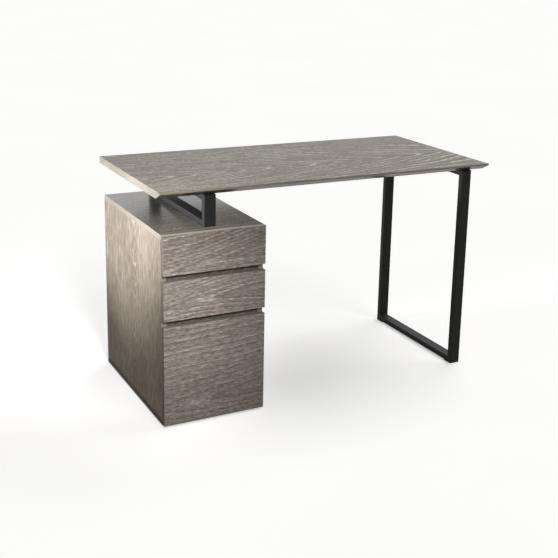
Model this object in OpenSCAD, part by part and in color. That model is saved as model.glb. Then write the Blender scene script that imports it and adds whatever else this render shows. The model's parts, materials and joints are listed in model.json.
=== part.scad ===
// Writing desk: a wooden desktop carried by a flat steel loop leg on the right and, on the left,
// by a three-drawer pedestal that lifts it on a low steel spacer frame.
// Millimetres. +X is to the user's right, -Y faces the user, +Z is up.
// The origin lies on the floor, at the centre of the overall footprint.

/* [Desktop] */
// Width of the desktop from side to side
desk_w = 1240; // [1100:10:1800]
// Depth of the desktop from front edge to back edge
desk_d = 610; // [600:5:800]
// Height of the desktop's upper face above the floor
desk_h = 760; // [740:5:800]
// Thickness of the desktop
top_t = 24; // [20:1:30]
// Thickness of the thin front lip that the bevel leaves
lip_t = 6; // [3:1:12]
// Depth of the bevel under the front edge
bevel_d = 35; // [20:1:50]

/* [Steel frames] */
// Width of the flat steel tube, across the desk
tube_w = 40; // [30:1:60]
// Thickness of the flat steel tube, in the plane of each loop
tube_t = 20; // [16:1:30]
// Wall thickness of the steel tube
tube_wall = 2; // [1.5:0.5:3]
// Distance from the desktop's front edge back to both loops
loop_front = 26; // [10:1:60]
// Distance from the desktop's back edge forward to both loops
loop_back = 70; // [40:1:120]
// Distance from the desktop's right edge to the leg
leg_inset = 56; // [20:1:120]
// Distance from the pedestal's left side to the spacer loop
spacer_inset = 155; // [60:1:220]
// Height of the open gap that the spacer loop leaves over the pedestal
spacer_h = 104; // [80:1:140]
// Thickness of the pads under the leg
pad_t = 3; // [2:0.5:6]

/* [Pedestal] */
// Width of the pedestal
ped_w = 345; // [320:5:450]
// Depth of the pedestal, drawer fronts included
ped_d = 588; // [570:1:620]
// How far the drawer fronts stand ahead of the desktop's front edge
ped_ahead = 26; // [0:1:40]
// Thickness of the carcass panels and of the drawer fronts
panel_t = 16; // [15:1:19]
// Thickness of the back panel
back_t = 8; // [4:1:12]
// Height of the glides under the pedestal
glide_h = 5; // [3:1:8]
// Air gap between the carcass and the closed drawer fronts
front_gap = 3; // [2:0.5:4]
// Height of each cross rail behind a finger gap
rail_h = 36; // [30:1:40]

/* [Drawers] */
// Height of the two upper drawer fronts
small_front_h = 128; // [126:1:134]
// Height of the finger gap between two fronts
finger_gap = 19; // [16:1:24]
// Clearance between the lowest drawer front and the floor
toe_gap = 8; // [6:1:15]
// Height of the two upper drawer boxes
small_box_h = 84; // [70:1:86]
// Height of the file drawer's box
file_box_h = 260; // [200:5:270]
// Length of the drawer boxes from front to back
box_l = 510; // [500:5:520]
// Thickness of the drawer box's sides, inner front and back
box_t = 12; // [10:1:14]
// Thickness of the drawer bottoms
bottom_t = 6; // [4:1:8]
// Length of the telescopic runners
runner_l = 500; // [450:10:510]
// Height of the telescopic runners
runner_h = 45; // [40:1:50]
// Side space that one runner fills between carcass and drawer box
runner_w = 13; // [12.5:0.5:14]

/* [Hidden] */
$fn = 32;

// Overall footprint: the fronts stand ahead of the desktop, so the desktop sits a little to the back.
y_fronts = -(desk_d + ped_ahead) / 2;
y_desk = y_fronts + ped_ahead;
y_back = y_desk + desk_d;
x_left = -desk_w / 2;
x_right = desk_w / 2;

// Steel loops.
under_top = desk_h - top_t;
loop_y = y_desk + loop_front;
loop_d = desk_d - loop_front - loop_back;
leg_x = x_right - leg_inset - tube_w;
leg_h = under_top - pad_t;
spacer_x = x_left + spacer_inset;
bolt_ys = [for (f = [0.12, 0.5, 0.88]) loop_y + f * loop_d];

// Pedestal carcass.
ped_x = x_left;
ped_top = under_top - spacer_h;
ped_y = y_fronts + panel_t + front_gap;
ped_back = y_fronts + ped_d;
inner_x = ped_x + panel_t;
inner_w = ped_w - 2 * panel_t;
floor_z = glide_h + panel_t;
ceiling_z = ped_top - panel_t;
groove_h = 2.5;
groove_d = 5;
rail_setback = 1;
glide_r = 14;
glide_inset = 42;

// Dowels and bolts.
dowel_r = 4;
dowel_sunk = [12, 18];
rail_dowel_sunk = [10, 20];
dowel_ys = [for (f = [0.1, 0.5, 0.9]) ped_y + f * (ped_back - ped_y)];
play = 0.05;
bolt_r = 3;
bolt_head_r = 6;
bolt_head_h = 3.5;
bolt_grip = 14;
bolt_nut = 10;
bolt_play = 0.3;
screw_r = 2;
screw_head_r = 4;
screw_head_h = 2.4;
screw_bite = 11;

// Drawer boxes.
DRAWERS = ["top_drawer", "middle_drawer", "file_drawer"];
BOX_PIECES = ["front", "inner_front", "left_side", "right_side", "back", "bottom", "front_screws"];
SIDES = ["left", "right"];
MEMBERS = ["outer", "middle", "inner"];
box_y = y_fronts + panel_t;
box_x = inner_x + runner_w;
box_w = inner_w - 2 * runner_w;
box_lift = 8;
bottom_rise = 8;
groove_in = 6;
screw_spread = 180;
screw_inset = 18;

// Runners: three channels of pressed steel, each nested in the next with a ball race between them.
sheet = 1.2;
race = 1;
nest = sheet + race;
outer_reach = runner_w - 3;
middle_reach = runner_w - nest - sheet - 1.3;
inner_reach = runner_w - 2 * nest - sheet;
runner_y = ped_y + 2;

function front_top(i) = ped_top - i * (small_front_h + finger_gap);
function front_bottom(i) = i < 2 ? front_top(i) - small_front_h : toe_gap;
function rail_mid(i) = front_bottom(i) - finger_gap / 2;
function box_bottom(i) = (i < 2 ? rail_mid(i) + rail_h / 2 : floor_z) + box_lift;
function box_height(i) = i < 2 ? small_box_h : file_box_h;
function runner_z(i) = box_bottom(i) + small_box_h / 2;

// A box given by its lowest and highest corners.
module block(low, high) {
    translate(low) cube(high - low);
}

// Extrudes an outline drawn in Y and Z along +X.
module along_x(width) {
    rotate([90, 0, 90]) linear_extrude(width) children();
}

// Extrudes an outline drawn in X and Z along +Y.
module along_y(length) {
    translate([0, length, 0]) rotate([90, 0, 0]) linear_extrude(length) children();
}

// Flat rectangular tube standing on Z, outer face at Y = 0, both ends mitred towards +Y.
module mitred_tube(length) {
    difference() {
        along_x(tube_w) polygon([[0, 0], [0, length], [tube_t, length - tube_t], [tube_t, tube_t]]);
        block([tube_wall, tube_wall, -1], [tube_w - tube_wall, tube_t - tube_wall, length + 1]);
    }
}

// The four sides of a closed loop whose front lower corner is at the origin.
module loop_front_post(height) {
    mitred_tube(height);
}

module loop_rear_post(height) {
    translate([0, loop_d, 0]) mirror([0, 1, 0]) mitred_tube(height);
}

module loop_bottom_rail() {
    mirror([0, 1, -1]) mitred_tube(loop_d);
}

module loop_top_rail(height) {
    translate([0, 0, height]) mirror([0, 0, 1]) loop_bottom_rail();
}

// Upright holes through the middle of a rail at every bolt position.
module bolt_holes(x, z, depth, radius) {
    for (y = bolt_ys) translate([x + tube_w / 2, y, z]) cylinder(h = depth, r = radius);
}

// Round-headed fastener: the head's bearing face is at the origin, the shank points to +Z.
module fastener(radius, length, head_r, head_h) {
    translate([0, 0, -head_h]) cylinder(h = head_h, r = head_r);
    translate([0, 0, -head_h / 2]) cylinder(h = length + head_h / 2, r = radius);
}

module bolt_row(x, z, length) {
    for (y = bolt_ys) translate([x + tube_w / 2, y, z])
        fastener(bolt_r, length, bolt_head_r, bolt_head_h);
}

// ---- Desktop ----

module desktop() {
    color("#968f87") difference() {
        translate([x_left, 0, 0]) along_x(desk_w) polygon([
            [y_desk, desk_h], [y_back, desk_h], [y_back, under_top],
            [y_desk + bevel_d, under_top], [y_desk, desk_h - lip_t]
        ]);
        for (x = [leg_x, spacer_x]) bolt_holes(x, under_top - 1, bolt_grip + 1, bolt_r + play);
    }
}

// ---- Leg ----

module leg_front_post() {
    color("#2a2a2c") translate([leg_x, loop_y, pad_t]) loop_front_post(leg_h);
}

module leg_rear_post() {
    color("#2a2a2c") translate([leg_x, loop_y, pad_t]) loop_rear_post(leg_h);
}

module leg_bottom_rail() {
    color("#2a2a2c") translate([leg_x, loop_y, pad_t]) loop_bottom_rail();
}

module leg_top_rail() {
    color("#2a2a2c") difference() {
        translate([leg_x, loop_y, pad_t]) loop_top_rail(leg_h);
        bolt_holes(leg_x, under_top - tube_t - 1, tube_t + 2, bolt_r + bolt_play);
    }
}

module leg_floor_pads() {
    pad_l = 2 * tube_t;
    color("#161616") for (y = [loop_y, loop_y + loop_d - pad_l])
        block([leg_x, y, 0], [leg_x + tube_w, y + pad_l, pad_t]);
}

module leg_bolts() {
    color("#8c8c90") bolt_row(leg_x, under_top - tube_t, tube_t + bolt_grip);
}

// ---- Spacer loop over the pedestal ----

module spacer_front_post() {
    color("#2a2a2c") translate([spacer_x, loop_y, ped_top]) loop_front_post(spacer_h);
}

module spacer_rear_post() {
    color("#2a2a2c") translate([spacer_x, loop_y, ped_top]) loop_rear_post(spacer_h);
}

module spacer_bottom_rail() {
    color("#2a2a2c") difference() {
        translate([spacer_x, loop_y, ped_top]) loop_bottom_rail();
        bolt_holes(spacer_x, ped_top - 1, tube_wall + 2, bolt_r + bolt_play);
    }
}

module spacer_top_rail() {
    color("#2a2a2c") difference() {
        translate([spacer_x, loop_y, ped_top]) loop_top_rail(spacer_h);
        bolt_holes(spacer_x, under_top - tube_t - 1, tube_t + 2, bolt_r + bolt_play);
    }
}

module spacer_bolts() {
    color("#8c8c90") {
        bolt_row(spacer_x, under_top - tube_t, tube_t + bolt_grip);
        bolt_row(spacer_x, ceiling_z, panel_t + tube_wall + bolt_nut);
    }
}

// ---- Pedestal carcass ----

// Upright dowel, or its hole, with the joint line between two panels at z = 0.
module dowel(sunk, extra) {
    translate([0, 0, -sunk[0] - extra]) cylinder(h = sunk[0] + sunk[1] + 2 * extra, r = dowel_r + extra);
}

module corner_dowels(extra) {
    for (x = [ped_x + panel_t / 2, ped_x + ped_w - panel_t / 2], y = dowel_ys) {
        translate([x, y, floor_z]) dowel(dowel_sunk, extra);
        translate([x, y, ceiling_z]) mirror([0, 0, 1]) dowel(dowel_sunk, extra);
    }
}

module rail_dowels(extra) {
    for (i = [0, 1]) translate([0, ped_y + rail_setback + panel_t / 2, rail_mid(i)]) {
        translate([inner_x, 0, 0]) rotate([0, 90, 0]) dowel(rail_dowel_sunk, extra);
        translate([inner_x + inner_w, 0, 0]) rotate([0, -90, 0]) dowel(rail_dowel_sunk, extra);
    }
}

module carcass_dowels() {
    color("#c2a57c") {
        corner_dowels(0);
        rail_dowels(0);
    }
}

// Side panel between top and bottom, with a shadow groove along its outer lower edge.
module side_panel(x, groove_x) {
    difference() {
        block([x, ped_y, floor_z], [x + panel_t, ped_back, ceiling_z]);
        block([groove_x, ped_y - 1, floor_z - 1],
              [groove_x + 2 * groove_d, ped_back + 1, floor_z + groove_h]);
        corner_dowels(play);
        rail_dowels(play);
    }
}

module pedestal_left_side() {
    color("#857c70") side_panel(ped_x, ped_x - groove_d);
}

module pedestal_right_side() {
    color("#857c70") side_panel(ped_x + ped_w - panel_t, ped_x + ped_w - groove_d);
}

module pedestal_top() {
    color("#8f8880") difference() {
        block([ped_x, ped_y, ceiling_z], [ped_x + ped_w, ped_back, ped_top]);
        corner_dowels(play);
        bolt_holes(spacer_x, ceiling_z - 1, panel_t + 2, bolt_r + bolt_play);
    }
}

module pedestal_bottom() {
    color("#857c70") difference() {
        block([ped_x, ped_y, glide_h], [ped_x + ped_w, ped_back, floor_z]);
        corner_dowels(play);
    }
}

module pedestal_back() {
    color("#7d756b") block([inner_x, ped_back - back_t, floor_z], [inner_x + inner_w, ped_back, ceiling_z]);
}

module cross_rail(i) {
    y = ped_y + rail_setback;
    color("#6f6a64") difference() {
        block([inner_x, y, rail_mid(i) - rail_h / 2],
              [inner_x + inner_w, y + panel_t, rail_mid(i) + rail_h / 2]);
        rail_dowels(play);
    }
}

module pedestal_glides() {
    xs = [ped_x + glide_inset, ped_x + ped_w - glide_inset];
    ys = [ped_y + glide_inset, ped_back - glide_inset];
    color("#161616") for (x = xs, y = ys) translate([x, y, 0]) cylinder(h = glide_h, r = glide_r);
}

// ---- Drawers ----

// Places its children at a drawer's four front screws, with +Z pointing out through the front.
module at_front_screws(i) {
    low = box_bottom(i) + bottom_rise + bottom_t + screw_inset;
    high = box_bottom(i) + box_height(i) - screw_inset;
    for (x = [-0.5, 0.5] * screw_spread, z = [low, high])
        translate([box_x + box_w / 2 + x, box_y + box_t, z]) rotate([90, 0, 0]) children();
}

module front_screw_holes(i) {
    at_front_screws(i) translate([0, 0, -play])
        cylinder(h = box_t + screw_bite + 2 * play, r = screw_r + play);
}

module drawer_front_screws(i) {
    color("#8c8c90") at_front_screws(i) fastener(screw_r, box_t + screw_bite, screw_head_r, screw_head_h);
}

// Panel in the grooves of the drawer box, a little above the lower edges.
module bottom_panel(i) {
    z = box_bottom(i) + bottom_rise;
    block([box_x + box_t - groove_in, box_y + box_t - groove_in, z],
          [box_x + box_w - box_t + groove_in, box_y + box_l - box_t + groove_in, z + bottom_t]);
}

// Upright board of the drawer box, grooved where the bottom panel enters it.
module box_board(i, low, high) {
    difference() {
        block([low.x, low.y, box_bottom(i)], [high.x, high.y, box_bottom(i) + box_height(i)]);
        bottom_panel(i);
    }
}

module drawer_front(i) {
    color("#8a837c") difference() {
        block([ped_x, y_fronts, front_bottom(i)], [ped_x + ped_w, y_fronts + panel_t, front_top(i)]);
        front_screw_holes(i);
    }
}

module drawer_inner_front(i) {
    color("#b9ab97") difference() {
        box_board(i, [box_x + box_t, box_y], [box_x + box_w - box_t, box_y + box_t]);
        front_screw_holes(i);
    }
}

module drawer_side(i, x) {
    color("#b9ab97") box_board(i, [x, box_y], [x + box_t, box_y + box_l]);
}

module drawer_back(i) {
    y = box_y + box_l;
    color("#b9ab97") box_board(i, [box_x + box_t, y - box_t], [box_x + box_w - box_t, y]);
}

module drawer_bottom(i) {
    color("#b9ab97") bottom_panel(i);
}

// ---- Runners ----

// Channel profile in X and Z: the web stands on X = 0 and both lips point to +X.
module channel(height, depth) {
    difference() {
        translate([0, -height / 2]) square([depth, height]);
        translate([sheet, sheet - height / 2]) square([depth, height - 2 * sheet]);
    }
}

// One member of the left-hand runner, in the space between carcass and drawer box.
module runner_member(member) {
    if (member == 0) channel(runner_h, outer_reach);
    if (member == 1) translate([nest, 0]) channel(runner_h - 2 * nest, middle_reach);
    if (member == 2) translate([runner_w, 0]) mirror([1, 0]) channel(runner_h - 4 * nest, inner_reach);
}

module runner(i, side, member) {
    color("#a9abae") translate([side == 0 ? inner_x : inner_x + inner_w, runner_y, runner_z(i)])
        mirror([side, 0, 0]) along_y(runner_l) runner_member(member);
}

desktop();
leg_front_post();
leg_rear_post();
leg_bottom_rail();
leg_top_rail();
leg_floor_pads();
leg_bolts();
spacer_front_post();
spacer_rear_post();
spacer_bottom_rail();
spacer_top_rail();
spacer_bolts();
pedestal_left_side();
pedestal_right_side();
pedestal_top();
pedestal_bottom();
pedestal_back();
cross_rail(0);  // upper_cross_rail
cross_rail(1);  // lower_cross_rail
carcass_dowels();
pedestal_glides();
for (i = [0:2]) {
    drawer_front(i);
    drawer_inner_front(i);
    drawer_side(i, box_x);
    drawer_side(i, box_x + box_w - box_t);
    drawer_back(i);
    drawer_bottom(i);
    drawer_front_screws(i);
    for (s = [0, 1], m = [0:2]) {
        runner(i, s, m);
    }
}
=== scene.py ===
import json
import math

import bmesh
import bpy
from mathutils import Matrix, Vector

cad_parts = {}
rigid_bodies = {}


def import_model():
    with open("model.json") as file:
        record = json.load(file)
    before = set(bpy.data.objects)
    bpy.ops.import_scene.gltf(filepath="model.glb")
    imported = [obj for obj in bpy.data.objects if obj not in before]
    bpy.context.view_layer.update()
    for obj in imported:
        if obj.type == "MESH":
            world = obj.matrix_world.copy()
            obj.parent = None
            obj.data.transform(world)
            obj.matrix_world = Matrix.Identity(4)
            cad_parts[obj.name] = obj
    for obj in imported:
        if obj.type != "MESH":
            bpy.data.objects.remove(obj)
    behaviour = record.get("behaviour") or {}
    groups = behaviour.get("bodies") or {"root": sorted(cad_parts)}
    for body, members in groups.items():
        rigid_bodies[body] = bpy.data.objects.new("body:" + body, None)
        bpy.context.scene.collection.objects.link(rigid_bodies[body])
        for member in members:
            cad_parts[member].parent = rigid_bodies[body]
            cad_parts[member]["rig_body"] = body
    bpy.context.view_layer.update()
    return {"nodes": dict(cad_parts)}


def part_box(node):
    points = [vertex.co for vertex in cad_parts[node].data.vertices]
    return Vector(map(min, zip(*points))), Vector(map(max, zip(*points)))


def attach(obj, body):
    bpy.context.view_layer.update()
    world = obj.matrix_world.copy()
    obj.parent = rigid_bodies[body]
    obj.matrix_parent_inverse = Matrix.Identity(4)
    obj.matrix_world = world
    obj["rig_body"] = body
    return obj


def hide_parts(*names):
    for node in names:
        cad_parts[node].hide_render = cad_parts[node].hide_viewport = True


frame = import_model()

MM = 0.001
AXES = "XYZ"
DRAWERS = ("top_drawer", "middle_drawer", "file_drawer")
SIDES = ("left", "right")


# ---------------------------------------------------------------- shader building

class Signal:
    """A number that varies over a surface. Arithmetic on it adds Math nodes."""

    def __init__(self, tree, socket):
        self.tree = tree
        self.socket = socket

    def math(self, operation, other=0.0):
        node = self.tree.nodes.new("ShaderNodeMath")
        node.operation = operation
        self.tree.put(node.inputs[0], self)
        self.tree.put(node.inputs[1], other)
        return Signal(self.tree, node.outputs[0])

    def __add__(self, other):
        return self.math("ADD", other)

    def __sub__(self, other):
        return self.math("SUBTRACT", other)

    def __mul__(self, other):
        return self.math("MULTIPLY", other)

    def root(self):
        return self.math("SQRT")

    def fract(self):
        return self.math("FRACT")

    def step(self, low, high):
        """Smooth rise from 0 at low to 1 at high."""
        node = self.tree.nodes.new("ShaderNodeMapRange")
        node.interpolation_type = "SMOOTHSTEP"
        for key, value in (("Value", self), ("From Min", low), ("From Max", high)):
            self.tree.put(node.inputs[key], value)
        return Signal(self.tree, node.outputs["Result"])


class Finish:
    """One procedural material, built from the surface's own coordinates."""

    def __init__(self, name):
        self.material = bpy.data.materials.new(name)
        self.material.use_nodes = True
        self.nodes = self.material.node_tree.nodes
        self.links = self.material.node_tree.links
        self.shader = self.nodes["Principled BSDF"]
        coords = self.nodes.new("ShaderNodeTexCoord").outputs["Object"]
        split = self.nodes.new("ShaderNodeSeparateXYZ")
        self.links.new(coords, split.inputs[0])
        self.axis = {a: Signal(self, split.outputs[a]) for a in AXES}

    def put(self, socket, value):
        if isinstance(value, Signal):
            self.links.new(value.socket, socket)
        elif isinstance(value, bpy.types.NodeSocket):
            self.links.new(value, socket)
        else:
            socket.default_value = value

    def noise(self, along, across, depth, detail=2.0, roughness=0.5):
        """Noise between about 0 and 1 over three already scaled coordinates."""
        join = self.nodes.new("ShaderNodeCombineXYZ")
        for socket, value in zip(join.inputs, (along, across, depth)):
            self.put(socket, value)
        node = self.nodes.new("ShaderNodeTexNoise")
        self.links.new(join.outputs[0], node.inputs["Vector"])
        for key, value in (("Scale", 1.0), ("Detail", detail), ("Roughness", roughness)):
            node.inputs[key].default_value = value
        return Signal(self, node.outputs[0])

    def ramp(self, value, stops):
        """Colour along a list of (position, colour) stops."""
        node = self.nodes.new("ShaderNodeValToRGB")
        self.put(node.inputs[0], value)
        elements = node.color_ramp.elements
        while len(elements) < len(stops):
            elements.new(0.5)
        for element, (position, colour) in zip(elements, stops):
            element.position = position
            element.color = (*colour, 1.0)
        return node.outputs["Color"]

    def board_axes(self, grain, across):
        """Signals along the grain, across it and through the board."""
        through = next(a for a in AXES if a not in (grain, across))
        return self.axis[grain], self.axis[across], self.axis[through]

    def bump(self, height, distance, strength):
        node = self.nodes.new("ShaderNodeBump")
        node.inputs["Strength"].default_value = strength
        node.inputs["Distance"].default_value = distance
        self.put(node.inputs["Height"], height)
        self.links.new(node.outputs["Normal"], self.shader.inputs["Normal"])

    def set(self, **values):
        """Sets shader inputs, each named in small letters with _ for a space."""
        for key, value in values.items():
            name = key.replace("_", " ")
            self.put(next(i for i in self.shader.inputs if i.name.lower() == name), value)


# ---------------------------------------------------------------- materials

OAK_TONES = (
    (0.00, (0.060, 0.047, 0.041)),
    (0.30, (0.128, 0.107, 0.094)),
    (0.50, (0.215, 0.190, 0.168)),
    (0.70, (0.320, 0.300, 0.268)),
    (1.00, (0.560, 0.575, 0.525)),
)
BAND_TONES = (
    (0.25, (0.170, 0.170, 0.170)),
    (0.50, (0.235, 0.235, 0.235)),
    (0.75, (0.300, 0.300, 0.300)),
)


def tinted(stops, tint):
    """The same colour stops, multiplied by a tint."""
    return [(at, tuple(c * t for c, t in zip(colour, tint))) for at, colour in stops]


def oak(name, grain, across, heart=0.0, slope=0.0, taper=0.03, density=62.0, seed=0.0, ripples=0.014,
        figure=1.0, lime=1.0, grit=1.0, coarse=1.0, pores=1.0, tint=(1.0, 1.0, 1.0), sheen=0.4, lacquer=0.0):
    """Brushed and limed oak veneer, cut past the heart of the log so that its rings draw tall arches.

    grain and across are the axes along and across the board.
    heart is the arches' centre line in metres, slope its lean, and taper how fast the arches close.
    density is the rings in a metre, and ripples how far they waver, in metres.
    figure is how strongly the rings show, and lime how white their early wood is.
    grit is how strongly the pores show, coarse how wide they are and pores how long.
    sheen is the wood's specular level, and lacquer the weight of a smooth clear coat on it.
    """
    finish = Finish(name)
    place, wide, deep = finish.board_axes(grain, across)
    along = place + seed
    wander = finish.noise(along * 1.8, wide * 5.0, deep * 5.0, detail=1.0) - 0.5
    ripple = finish.noise(along * 16.0, wide * 40.0, deep * 40.0, detail=3.0, roughness=0.6) - 0.5
    off_heart = wide - heart - place * slope + wander * 0.09
    from_heart = (off_heart * off_heart + 0.0002).root()
    closing = from_heart.step(0.02, 0.30) * -0.85 + 1.0
    radius = from_heart + place * closing * taper + ripple * ripples
    ring = (radius * density + seed).fract()
    limed = finish.noise(along * 5.0, wide * 14.0, radius * density, detail=2.0).step(0.40, 0.62)
    fine = 340.0 / coarse
    broad = fine * 0.45
    short = 120.0 / pores
    streak = finish.noise(along * 16.0, wide * broad, deep * broad, detail=3.0, roughness=0.6) - 0.5
    speckle = finish.noise(along * short, wide * fine, deep * fine, detail=2.0, roughness=0.6) - 0.5
    dash = finish.noise(along * 70.0, wide * 900.0, deep * 900.0, detail=1.0)
    fade = finish.noise(along * 1.6, wide * 4.5, deep * 4.5, detail=1.0).step(0.34, 0.62) * 0.85 + 0.15
    early = (ring.step(0.0, 0.08) - ring.step(0.18, 0.42)) * limed * fade * (speckle * 2.2 + 0.9)
    late = (ring.step(0.45, 0.94) - ring.step(0.94, 1.0)) * (fade * 0.6 + 0.4)
    cloud = finish.noise(along * 2.0, wide * 8.0, deep * 8.0, detail=2.0) - 0.5
    surface = (streak * 0.46 + speckle * 1.40 - dash.step(0.56, 0.74) * 0.20) * grit
    rings = (early * (0.50 * lime) - late * (0.34 - 0.17 * lime)) * figure
    tone = cloud * 0.22 + surface + rings + 0.50
    finish.set(base_color=finish.ramp(tone, tinted(OAK_TONES, tint)), roughness=tone * 0.20 + 0.32)
    finish.set(specular_ior_level=sheen, coat_weight=lacquer, coat_roughness=0.20)
    finish.bump(tone, 0.0005, 0.3)
    return finish.material


def edge_band(name, grain, across, tint, lacquer):
    """Oak edge banding with a straight grain, and a smooth lacquer from none at 0 to full at 1."""
    finish = Finish(name)
    along, wide, deep = finish.board_axes(grain, across)
    streak = finish.noise(along * 16.0, wide * 260.0, deep * 260.0, detail=3.0, roughness=0.6)
    cloud = finish.noise(along * 4.0, wide * 20.0, deep * 20.0, detail=1.0)
    tone = streak * 0.6 + cloud * 0.4
    finish.set(base_color=finish.ramp(tone, tinted(BAND_TONES, tint)), roughness=streak * 0.12 + 0.26)
    finish.set(specular_ior_level=0.05 + 0.45 * lacquer, coat_weight=lacquer, coat_roughness=0.1)
    finish.bump(streak, 0.0002, 0.3)
    return finish.material


def foil(name, grain, across, tones):
    """Printed wood foil on the drawer boxes: straight, quiet grain under a satin skin."""
    finish = Finish(name)
    along, wide, deep = finish.board_axes(grain, across)
    streak = finish.noise(along * 2.5, wide * 90.0, deep * 90.0, detail=4.0, roughness=0.6)
    cloud = finish.noise(along * 1.2, wide * 8.0, deep * 8.0, detail=1.0)
    finish.set(base_color=finish.ramp(streak * 0.7 + cloud * 0.3, tones), roughness=streak * 0.12 + 0.38)
    finish.bump(streak, 0.0002, 0.3)
    return finish.material


def powder_coat(name):
    """Satin black powder coat: fine orange peel, with the edges rubbed a little greyer."""
    finish = Finish(name)
    x, y, z = (finish.axis[a] for a in AXES)
    peel = finish.noise(x * 900.0, y * 900.0, z * 900.0, detail=2.0)
    patch = finish.noise(x * 14.0, y * 14.0, z * 14.0, detail=4.0)
    edge = finish.nodes.new("ShaderNodeNewGeometry").outputs["Pointiness"]
    rubbed = Signal(finish, edge).step(0.52, 0.62) * patch
    tone = patch * 0.35 + peel * 0.15 + rubbed * 0.5
    blacks = [(0.0, (0.006, 0.006, 0.006)), (0.5, (0.011, 0.011, 0.011)), (1.0, (0.050, 0.050, 0.052))]
    finish.set(base_color=finish.ramp(tone, blacks), roughness=patch * 0.16 + 0.44, specular_ior_level=0.3)
    finish.bump(peel, 0.0001, 0.35)
    return finish.material


def plated(name, brush_axis, low, high):
    """Zinc-plated steel with fine drawing lines along one axis and a cloudy passivation."""
    finish = Finish(name)
    along = finish.axis[brush_axis]
    wide, deep = (finish.axis[a] for a in AXES if a != brush_axis)
    line = finish.noise(along * 12.0, wide * 2500.0, deep * 2500.0, detail=2.0)
    cloud = finish.noise(along * 20.0, wide * 40.0, deep * 40.0, detail=3.0)
    finish.set(
        base_color=finish.ramp(line * 0.35 + cloud * 0.65, [(0.25, low), (0.75, high)]),
        roughness=line * 0.14 + cloud * 0.16 + 0.18,
        metallic=1.0,
    )
    finish.bump(line, 0.00005, 0.3)
    return finish.material


def plastic(name, low, high):
    """Moulded matt plastic with a fine spark-eroded texture."""
    finish = Finish(name)
    x, y, z = (finish.axis[a] for a in AXES)
    grit = finish.noise(x * 1500.0, y * 1500.0, z * 1500.0, detail=2.0)
    patch = finish.noise(x * 60.0, y * 60.0, z * 60.0, detail=2.0)
    tones = [(0.3, low), (0.7, high)]
    finish.set(base_color=finish.ramp(grit * 0.4 + patch * 0.6, tones), roughness=grit * 0.2 + 0.5)
    finish.bump(grit, 0.0001, 0.4)
    return finish.material


def studio_floor(name):
    """A white floor that glows a little. For light that bounces off it, it is a dimmer, warm grey."""
    finish = Finish(name)
    x, y, z = (finish.axis[a] for a in AXES)
    cloud = finish.noise(x * 0.8, y * 0.8, z, detail=3.0)
    whites = [(0.3, (0.74, 0.74, 0.735)), (0.7, (0.77, 0.77, 0.765))]
    finish.set(base_color=finish.ramp(cloud, whites), roughness=0.9, specular_ior_level=0.0)
    finish.set(emission_color=(1.0, 1.0, 0.995, 1.0), emission_strength=0.48)
    dim = finish.nodes.new("ShaderNodeBsdfDiffuse")
    dim.inputs["Color"].default_value = (0.34, 0.295, 0.245, 1.0)
    mix = finish.nodes.new("ShaderNodeMixShader")
    path = finish.nodes.new("ShaderNodeLightPath").outputs
    bounced = Signal(finish, path["Is Diffuse Ray"]) + Signal(finish, path["Is Glossy Ray"]) * 0.7
    finish.put(mix.inputs[0], bounced)
    finish.put(mix.inputs[1], finish.shader.outputs[0])
    finish.put(mix.inputs[2], dim.outputs[0])
    finish.put(finish.nodes["Material Output"].inputs["Surface"], mix.outputs[0])
    return finish.material


# ---------------------------------------------------------------- mesh building

SHARP = math.radians(30)
BEVEL_SEGMENTS = 3
FLAT = math.radians(1)
TOUCH = 0.01 * MM
BEND_STEPS = 6
HOLE_STEPS = 16
SCREW_STEPS = 24
BOARD_BEVEL = 0.8 * MM
TUBE_BEVEL = 2.2 * MM


def finished(name, bm, materials, body, bevel):
    """Turns a bmesh into a piece that rides on its body and has rounded edges."""
    bmesh.ops.recalc_face_normals(bm, faces=bm.faces)
    for face in bm.faces:
        face.smooth = True
    mesh = bpy.data.meshes.new(name)
    bm.to_mesh(mesh)
    bm.free()
    mesh.set_sharp_from_angle(angle=SHARP)
    for material in materials:
        mesh.materials.append(material)
    piece = bpy.data.objects.new(name, mesh)
    bpy.context.scene.collection.objects.link(piece)
    if bevel:
        soften = piece.modifiers.new("soften", "BEVEL")
        soften.width = bevel
        soften.segments = BEVEL_SEGMENTS
        soften.limit_method = "ANGLE"
        soften.angle_limit = SHARP
        soften.harden_normals = True
    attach(piece, body)
    return piece


def stand_in(name, bm, materials, nodes, bevel=0.0):
    """Finishes a piece that is shown instead of these CAD nodes, which share a body and a slot."""
    body = frame["nodes"][nodes[0]]["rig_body"]
    piece = finished(name, bm, materials, body, bevel)
    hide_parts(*nodes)


def solid_of(node):
    """The CAD node's shape as a clean bmesh: welded, and with whole faces instead of triangles."""
    source = frame["nodes"][node].data
    mesh = bpy.data.meshes.new("scratch")
    mesh.from_pydata([v.co for v in source.vertices], [], [p.vertices for p in source.polygons])
    bm = bmesh.new()
    bm.from_mesh(mesh)
    bpy.data.meshes.remove(mesh)
    bmesh.ops.remove_doubles(bm, verts=bm.verts, dist=TOUCH)
    bmesh.ops.dissolve_limit(bm, angle_limit=FLAT, verts=bm.verts, edges=bm.edges)
    return bm


def board(node, face_material, band_material, bevel=BOARD_BEVEL, slope_material=None, end_material=None):
    """A veneered panel with rounded edges, and an edge band on its narrow faces.

    slope_material is for a face cut at a slant, end_material for the narrow faces that look left or right.
    """
    bm = solid_of(node)
    low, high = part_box(node)
    thin = min(range(3), key=lambda i: high[i] - low[i])
    broad, narrow, slant, end = range(4)
    bm.normal_update()
    for face in bm.faces:
        facing = abs(face.normal[thin])
        if thin != 0 and abs(face.normal.x) > 0.5:
            face.material_index = end
        elif facing < 0.5:
            face.material_index = narrow
        elif facing < 0.95:
            face.material_index = slant
        else:
            face.material_index = broad
    materials = [face_material, band_material]
    materials.append(slope_material or face_material)
    materials.append(end_material or band_material)
    stand_in(node + "_board", bm, materials, [node], bevel)


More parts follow.
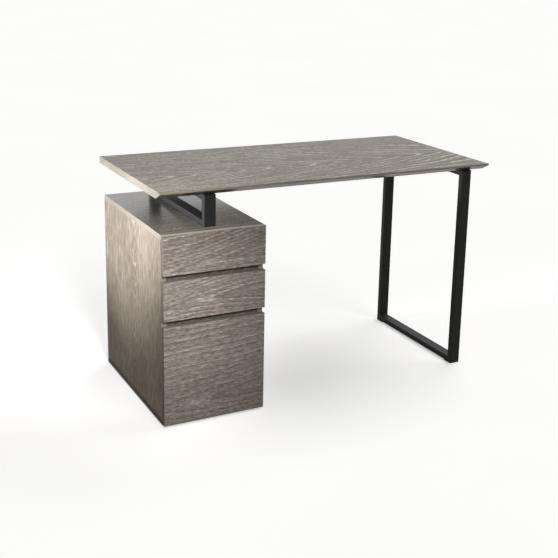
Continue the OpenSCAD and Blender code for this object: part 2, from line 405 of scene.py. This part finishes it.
def welded_loop(loop):
    """Four mitred tubes, welded into one closed frame in the YZ plane and ground flush."""
    nodes = [f"{loop}_{part}" for part in ("front_post", "rear_post", "bottom_rail", "top_rail")]
    low = Vector(map(min, zip(*(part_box(n)[0] for n in nodes))))
    high = Vector(map(max, zip(*(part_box(n)[1] for n in nodes))))
    post_low, post_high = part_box(nodes[0])
    depth = post_high.y - post_low.y
    rings = []
    bm = bmesh.new()
    for inset in (0.0, depth):
        for x in (low.x, high.x):
            corners = [(low.y + inset, low.z + inset), (high.y - inset, low.z + inset),
                       (high.y - inset, high.z - inset), (low.y + inset, high.z - inset)]
            rings.append([bm.verts.new((x, y, z)) for y, z in corners])
    for a, b in ((0, 1), (1, 3), (3, 2), (2, 0)):
        bridge(bm, rings[a], rings[b])
    stand_in(f"{loop}_loop_tube", bm, [steel], nodes, TUBE_BEVEL)


def bridge(bm, ring, other):
    """Joins two rings that have the same number of vertices with a band of faces."""
    for i in range(len(ring)):
        j = (i + 1) % len(ring)
        bm.faces.new((ring[i], ring[j], other[j], other[i]))


def ring_points(centre, radius, steps, start=0.0, sweep=2 * math.pi, reach=0.0):
    """Points of an arc or circle in a plane. A circle with a reach is stretched into a slot."""
    points = []
    for i in range(steps):
        angle = start + sweep * i / (steps if sweep == 2 * math.pi else steps - 1)
        shift = reach if math.cos(angle) > 0 else -reach
        x = centre[0] + shift + radius * math.cos(angle)
        y = centre[1] + radius * math.sin(angle)
        points.append((x, y))
    return points


def channel_outline(depth, height, sheet, outer_bend):
    """A pressed C section: web at 0, flanges out to depth. It starts and ends on the upper flange's tip."""
    half = height / 2
    turn = math.pi / 2
    inner_bend = outer_bend - sheet
    outline = [(depth, half)]
    outline += ring_points((outer_bend, half - outer_bend), outer_bend, BEND_STEPS, turn, turn)
    outline += ring_points((outer_bend, outer_bend - half), outer_bend, BEND_STEPS, 2 * turn, turn)
    outline += [(depth, -half), (depth, sheet - half)]
    outline += ring_points((outer_bend, outer_bend - half), inner_bend, BEND_STEPS, 3 * turn, -turn)
    outline += ring_points((outer_bend, half - outer_bend), inner_bend, BEND_STEPS, 2 * turn, -turn)
    outline.append((depth, half - sheet))
    return outline


def runner(node, web_on_left):
    """A member of a telescopic runner: a bent C channel, with round holes and slots in turn in its web."""
    low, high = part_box(node)
    sheet = 1.2 * MM
    outer_bend = 2.2 * MM
    first_hole = 34 * MM
    pitch = 64 * MM
    hole_radii = (3.2 * MM, 2.3 * MM)
    hole_reaches = (0.0, 5.0 * MM)
    middle = (low.z + high.z) / 2
    side = low.x if web_on_left else high.x
    inward = 1 if web_on_left else -1
    bm = bmesh.new()

    def vertex(p, y, q):
        return bm.verts.new((side + inward * p, y, middle + q))

    outline = channel_outline(high.x - low.x, high.z - low.z, sheet, outer_bend)
    near, far = ([vertex(p, y, q) for p, q in outline] for y in (low.y, high.y))
    bm.faces.new(near)
    bm.faces.new(far)
    webs = {}
    for i, (p, q) in enumerate(outline):
        j = (i + 1) % len(outline)
        quad = (near[i], near[j], far[j], far[i])
        if abs(p - outline[j][0]) < TOUCH and min(abs(p), abs(p - sheet)) < TOUCH:
            corners = zip(quad, quad[1:] + quad[:1])
            webs[p] = [bm.edges.get(pair) or bm.edges.new(pair) for pair in corners]
        else:
            bm.faces.new(quad)
    rings = {p: [] for p in webs}
    for i in range(int((high.y - low.y) / pitch)):
        centre = (low.y + first_hole + pitch * i, 0.0)
        hole = ring_points(centre, hole_radii[i % 2], HOLE_STEPS, reach=hole_reaches[i % 2])
        for p in webs:
            rings[p].append([vertex(p, y, q) for y, q in hole])
    for p, edges in webs.items():
        for ring in rings[p]:
            edges += [bm.edges.new((a, b)) for a, b in zip(ring, ring[1:] + ring[:1])]
        bmesh.ops.triangle_fill(bm, edges=edges, use_beauty=True)
    for one, other in zip(*rings.values()):
        bridge(bm, one, other)
    stand_in(node + "_pressed", bm, [zinc_y], [node])


def islands(node):
    """(lowest, highest corner) of each separate solid in a CAD node."""
    bm = solid_of(node)
    waiting = set(bm.verts)
    found = []
    while waiting:
        stack = [waiting.pop()]
        part = list(stack)
        while stack:
            for edge in stack.pop().link_edges:
                for vertex in edge.verts:
                    if vertex in waiting:
                        waiting.remove(vertex)
                        stack.append(vertex)
                        part.append(vertex)
        corners = [[f(v.co[i] for v in part) for i in range(3)] for f in (min, max)]
        found.append((Vector(corners[0]), Vector(corners[1])))
    bm.free()
    return sorted(found, key=lambda box: tuple(box[0]))


def fastener(bm, centre, out, head, radius, length, lobes):
    """A turned screw: a domed head with a recessed drive, a shank and a chamfered tip.

    centre is where the head meets the shank, and out the direction that the head faces. head is the head's
    height, and lobes the drive's number of corners.
    """
    turn = out.to_track_quat("Z", "Y").to_matrix()
    shank = 0.5 * radius

    def ring(reach, z, waviness=0.0):
        verts = []
        for i in range(SCREW_STEPS):
            angle = 2 * math.pi * i / SCREW_STEPS
            wavy = reach * (1 + waviness * math.cos(lobes * angle))
            point = Vector((wavy * math.cos(angle), wavy * math.sin(angle), z))
            verts.append(bm.verts.new(centre + turn @ point))
        return verts

    dome = [ring(radius * math.cos(a), head * (0.45 + 0.55 * math.sin(a)))
            for a in (math.radians(d) for d in (0, 22, 42, 60))]
    drive = [ring(radius * share, head * depth, waviness)
             for share, depth, waviness in ((0.45, 1.0, 0.10), (0.40, 0.96, 0.12), (0.36, 0.35, 0.12))]
    tip = [ring(shank * 0.6, -length), ring(shank, -length + shank * 0.5)]
    collar = [ring(shank, 0), ring(radius, 0)]
    rings = tip + collar + dome + drive
    bm.faces.new(rings[0])
    for one, other in zip(rings, rings[1:]):
        bridge(bm, one, other)
    bm.faces.new(rings[-1])


def fasteners(node, out, head, lobes, material):
    """Stands turned screws in for the CAD node's plain ones. out is where their heads face."""
    bm = bmesh.new()
    axis = max(range(3), key=lambda i: abs(out[i]))
    for low, high in islands(node):
        size = high - low
        seat = (low + high) / 2
        seat[axis] = high[axis] - head if out[axis] > 0 else low[axis] + head
        radius = size[(axis + 1) % 3] / 2
        fastener(bm, seat, out, head, radius, size[axis] - head, lobes)
    stand_in(f"{node}_turned", bm, [material], [node])


# ---------------------------------------------------------------- pieces


def dress(node, material):
    """Gives a CAD node that keeps its own mesh a procedural material."""
    slots = frame["nodes"][node].data.materials
    slots.clear()
    slots.append(material)


top_oak = oak("oak_desktop", "X", "Y", heart=-0.06, slope=0.03, taper=0.24, density=46.0, seed=3.1,
              figure=1.8, grit=1.15, coarse=1.35, pores=1.3, tint=(1.06, 1.01, 0.91), sheen=0.3)
shelf_oak = oak("oak_pedestal_top", "X", "Y", heart=0.12, slope=0.10, seed=11.7, grit=1.2,
                tint=(1.05, 1.0, 0.92), lacquer=1.0)
# Painted shade: the desktop's slanted underside gets an oak about half as light, to draw the dark line under
# its front edge.
shaded_bevel_oak = oak("oak_bevel_painted_shade", "X", "Y", seed=17.3, figure=0.4, tint=(0.55, 0.53, 0.52), lacquer=1.0)
side_oak = oak("oak_upright", "Z", "Y", heart=-0.04, taper=-0.45, seed=7.3, figure=0.75, grit=0.8,
               pores=5.0, tint=(1.08, 0.99, 0.84), sheen=0.15)
back_oak = oak("oak_back", "Z", "X", heart=-0.45, taper=-0.25, seed=23.0, figure=0.7)
# Painted highlight: this band is about two and a half times as light as the others, for light caught on the
# top drawer front's upper and lower edges.
highlit_band_x = edge_band("edge_band_x_painted_highlight", "X", "Z", tint=(2.50, 2.38, 2.22), lacquer=1.0)
# A pale, warm band on the desktop's and pedestal top's narrow faces. It is partly the banding's own lighter
# colour and partly painted highlight on the desktop's front lip and left end.
pale_highlit_band_y = edge_band("edge_band_y_pale_painted_highlight", "Y", "Z", tint=(1.32, 1.12, 0.88), lacquer=1.0)
band_z = edge_band("edge_band_z", "Z", "X", tint=(1.20, 1.04, 0.84), lacquer=0.6)
# Painted shade: a darker band for the narrow faces in the finger gaps, on the cross rails and on the lower
# drawer fronts' edges.
painted_shade_gap_band = edge_band("painted_shade_gap_band", "X", "Z", tint=(0.70, 0.64, 0.57), lacquer=0.0)
# Painted shade: the pedestal bottom's edge is darkened to draw the shadow line where the pedestal meets the
# floor.
painted_shade_foot_band = edge_band("painted_shade_foot_band", "Y", "Z", tint=(0.42, 0.36, 0.29), lacquer=0.0)
end_band = edge_band("end_band", "Z", "Y", tint=(0.66, 0.58, 0.47), lacquer=0.0)
FRONT_GRAIN = {
    "top_drawer": dict(heart=0.56, slope=0.06, taper=-0.07, seed=2.3, density=84.0),
    "middle_drawer": dict(heart=0.43, slope=0.05, taper=-0.07, seed=6.1, density=84.0),
    "file_drawer": dict(heart=0.10, slope=0.03, taper=-0.08, seed=14.9, density=60.0),
}
front_oaks = {d: oak(f"oak_{d}", "X", "Z", ripples=0.009, figure=0.56, lime=0.72, grit=0.80, coarse=0.85,
                     pores=2.0, tint=(1.05, 1.03, 1.02), **FRONT_GRAIN[d]) for d in DRAWERS}
# Painted shade: the cross rails behind the finger gaps get an oak about 0.6 as light, for the shade in the
# recess.
shaded_rail_oak = oak("oak_rail_painted_shade", "X", "Z", seed=29.0, figure=0.5, grit=0.8, pores=1.7,
               tint=(0.60, 0.57, 0.54), sheen=0.1)
steel = powder_coat("black_powder_coat")
zinc_y = plated("zinc_drawn_y", "Y", low=(0.66, 0.67, 0.69), high=(0.90, 0.91, 0.93))
zinc_z = plated("zinc_bolt", "Z", low=(0.50, 0.50, 0.51), high=(0.76, 0.76, 0.77))
pad = plastic("pad_plastic", low=(0.018, 0.018, 0.018), high=(0.034, 0.034, 0.034))
BOX_TONES = [(0.25, (0.30, 0.265, 0.225)), (0.55, (0.40, 0.36, 0.31)), (0.85, (0.48, 0.44, 0.385))]
box_foil = foil("drawer_foil", "Y", "Z", BOX_TONES)
cross_foil = foil("drawer_foil_cross", "X", "Z", BOX_TONES)
base_foil = foil("drawer_base_foil", "Y", "X", BOX_TONES)
beech = foil("beech", "Z", "X", [(0.2, (0.45, 0.30, 0.17)), (0.8, (0.62, 0.45, 0.28))])

BOX_BEVEL = 0.4 * MM
PAD_BEVEL = 0.8 * MM
SCREW_HEAD = 2.4 * MM
BOLT_HEAD = 3.5 * MM
BACKWARD = Vector((0, 1, 0))
DOWN = Vector((0, 0, -1))

board("desktop", top_oak, pale_highlit_band_y, slope_material=shaded_bevel_oak)
board("pedestal_top", shelf_oak, pale_highlit_band_y)
for side in SIDES:
    board(f"pedestal_{side}_side", side_oak, band_z)
board("pedestal_bottom", side_oak, painted_shade_foot_band)
board("pedestal_back", back_oak, band_z)
for rail in ("upper_cross_rail", "lower_cross_rail"):
    board(rail, shaded_rail_oak, painted_shade_gap_band)
for drawer in DRAWERS:
    # The top drawer front takes the painted highlight band, and the lower fronts take the painted shade
    # band.
    upper_band = highlit_band_x if drawer == DRAWERS[0] else painted_shade_gap_band
    board(f"{drawer}_front", front_oaks[drawer], upper_band, end_material=end_band)
    for side in SIDES:
        board(f"{drawer}_{side}_side", box_foil, box_foil, BOX_BEVEL)
    for cross in ("inner_front", "back"):
        board(f"{drawer}_{cross}", cross_foil, cross_foil, BOX_BEVEL)
    board(f"{drawer}_bottom", base_foil, base_foil, BOX_BEVEL)
    fasteners(f"{drawer}_front_screws", BACKWARD, SCREW_HEAD, lobes=4, material=zinc_z)
for loop in ("leg", "spacer"):
    welded_loop(loop)
    fasteners(f"{loop}_bolts", DOWN, BOLT_HEAD, lobes=6, material=zinc_z)
for node in ("leg_floor_pads", "pedestal_glides"):
    stand_in(f"{node}_moulded", solid_of(node), [pad], [node], PAD_BEVEL)
dress("carcass_dowels", beech)
for drawer in DRAWERS:
    for side in SIDES:
        for member in ("outer", "middle", "inner"):
            runner(f"{drawer}_{side}_runner_{member}", (side == "left") != (member == "inner"))


# ---------------------------------------------------------------- studio

def camera():
    """Front left of the desk, a little above it, aimed slightly down."""
    data = bpy.data.cameras.new("camera")
    data.lens = 64.5
    data.shift_x = -0.053
    data.shift_y = -0.131
    data.clip_end = 200.0
    eye = bpy.data.objects.new("camera", data)
    stand = Matrix.Translation((-1.622, -3.066, 1.461))
    turn, dip, roll = (math.radians(a) for a in (-28.6, 14.0, 1.56))
    aim = Matrix.Rotation(turn, 4, "Z")
    aim @= Matrix.Rotation(math.pi / 2 - dip, 4, "X")
    aim @= Matrix.Rotation(roll, 4, "Z")
    eye.matrix_world = stand @ aim
    bpy.context.scene.collection.objects.link(eye)
    bpy.context.scene.camera = eye


def light(name, kind, location, target, energy, colour, **values):
    """A lamp at location, aimed at target and hidden from the camera. values are its other settings."""
    data = bpy.data.lights.new(name, kind)
    data.energy = energy
    data.color = colour
    for key, value in values.items():
        setattr(data, key, value)
    lamp = bpy.data.objects.new(name, data)
    lamp.location = location
    lamp.rotation_euler = (Vector(target) - Vector(location)).to_track_quat("-Z", "Y").to_euler()
    lamp.visible_camera = False
    bpy.context.scene.collection.objects.link(lamp)


def spot(name, location, target, energy, colour, cone, radius):
    """A soft spot whose light fades smoothly to the rim of its cone, in degrees."""
    light(name, "SPOT", location, target, energy, colour,
          spot_size=math.radians(cone), spot_blend=1.0, shadow_soft_size=radius)


def lay_floor(half_width):
    """A pale, square floor with its middle under the desk."""
    bm = bmesh.new()
    bmesh.ops.create_grid(bm, x_segments=4, y_segments=4, size=half_width)
    mesh = bpy.data.meshes.new("floor")
    bm.to_mesh(mesh)
    bm.free()
    mesh.materials.append(studio_floor("studio_floor"))
    floor = bpy.data.objects.new("floor", mesh)
    bpy.context.scene.collection.objects.link(floor)


def surroundings(seen, fill):
    """A white world. seen is its strength for the camera and in reflections, fill as light on surfaces."""
    world = bpy.data.worlds.new("studio")
    bpy.context.scene.world = world
    world.use_nodes = True
    nodes, links = world.node_tree.nodes, world.node_tree.links
    mix = nodes.new("ShaderNodeMixShader")
    links.new(nodes.new("ShaderNodeLightPath").outputs["Is Diffuse Ray"], mix.inputs[0])
    backgrounds = (nodes["Background"], nodes.new("ShaderNodeBackground"))
    for socket, background, strength in zip(mix.inputs[1:], backgrounds, (seen, fill)):
        background.inputs["Color"].default_value = (1, 1, 1, 1)
        background.inputs["Strength"].default_value = strength
        links.new(background.outputs[0], socket)
    links.new(mix.outputs[0], nodes["World Output"].inputs["Surface"])


def studio():
    """A pale floor, white surroundings, two broad suns and three soft spots.

    The side spots stay just under the desktop's height, so that none of their light grazes its top.
    """
    cool = (0.93, 0.985, 1.04)
    warm = (1, 0.99, 0.98)
    rosy = (1, 0.99, 1)
    lay_floor(half_width=60.0)
    surroundings(seen=0.9, fill=0.12)
    light("high_right", "SUN", (1.5, 0.5, 3.0), (0, 0, 0), 1.50, warm, angle=math.radians(40))
    light("high_front", "SUN", (0.4, -2.2, 1.8), (0, 0, 0), 0.6, rosy, angle=math.radians(30))
    spot("side_key", (-1.9, 0.4, 0.67), (-0.62, 0.10, 0.65), 170.0, cool, cone=44.0, radius=0.08)
    spot("side_kicker", (-1.4, -0.25, 0.68), (-0.62, -0.20, 0.69), 36.0, cool, cone=48.0, radius=0.07)
    spot("front_key", (-0.86, -1.75, 1.40), (-0.66, -0.32, 0.44), 158.0, rosy, cone=31.0, radius=0.2)
    scene = bpy.context.scene
    scene.view_settings.view_transform = "Standard"
    scene.view_settings.look = "None"


camera()
studio()
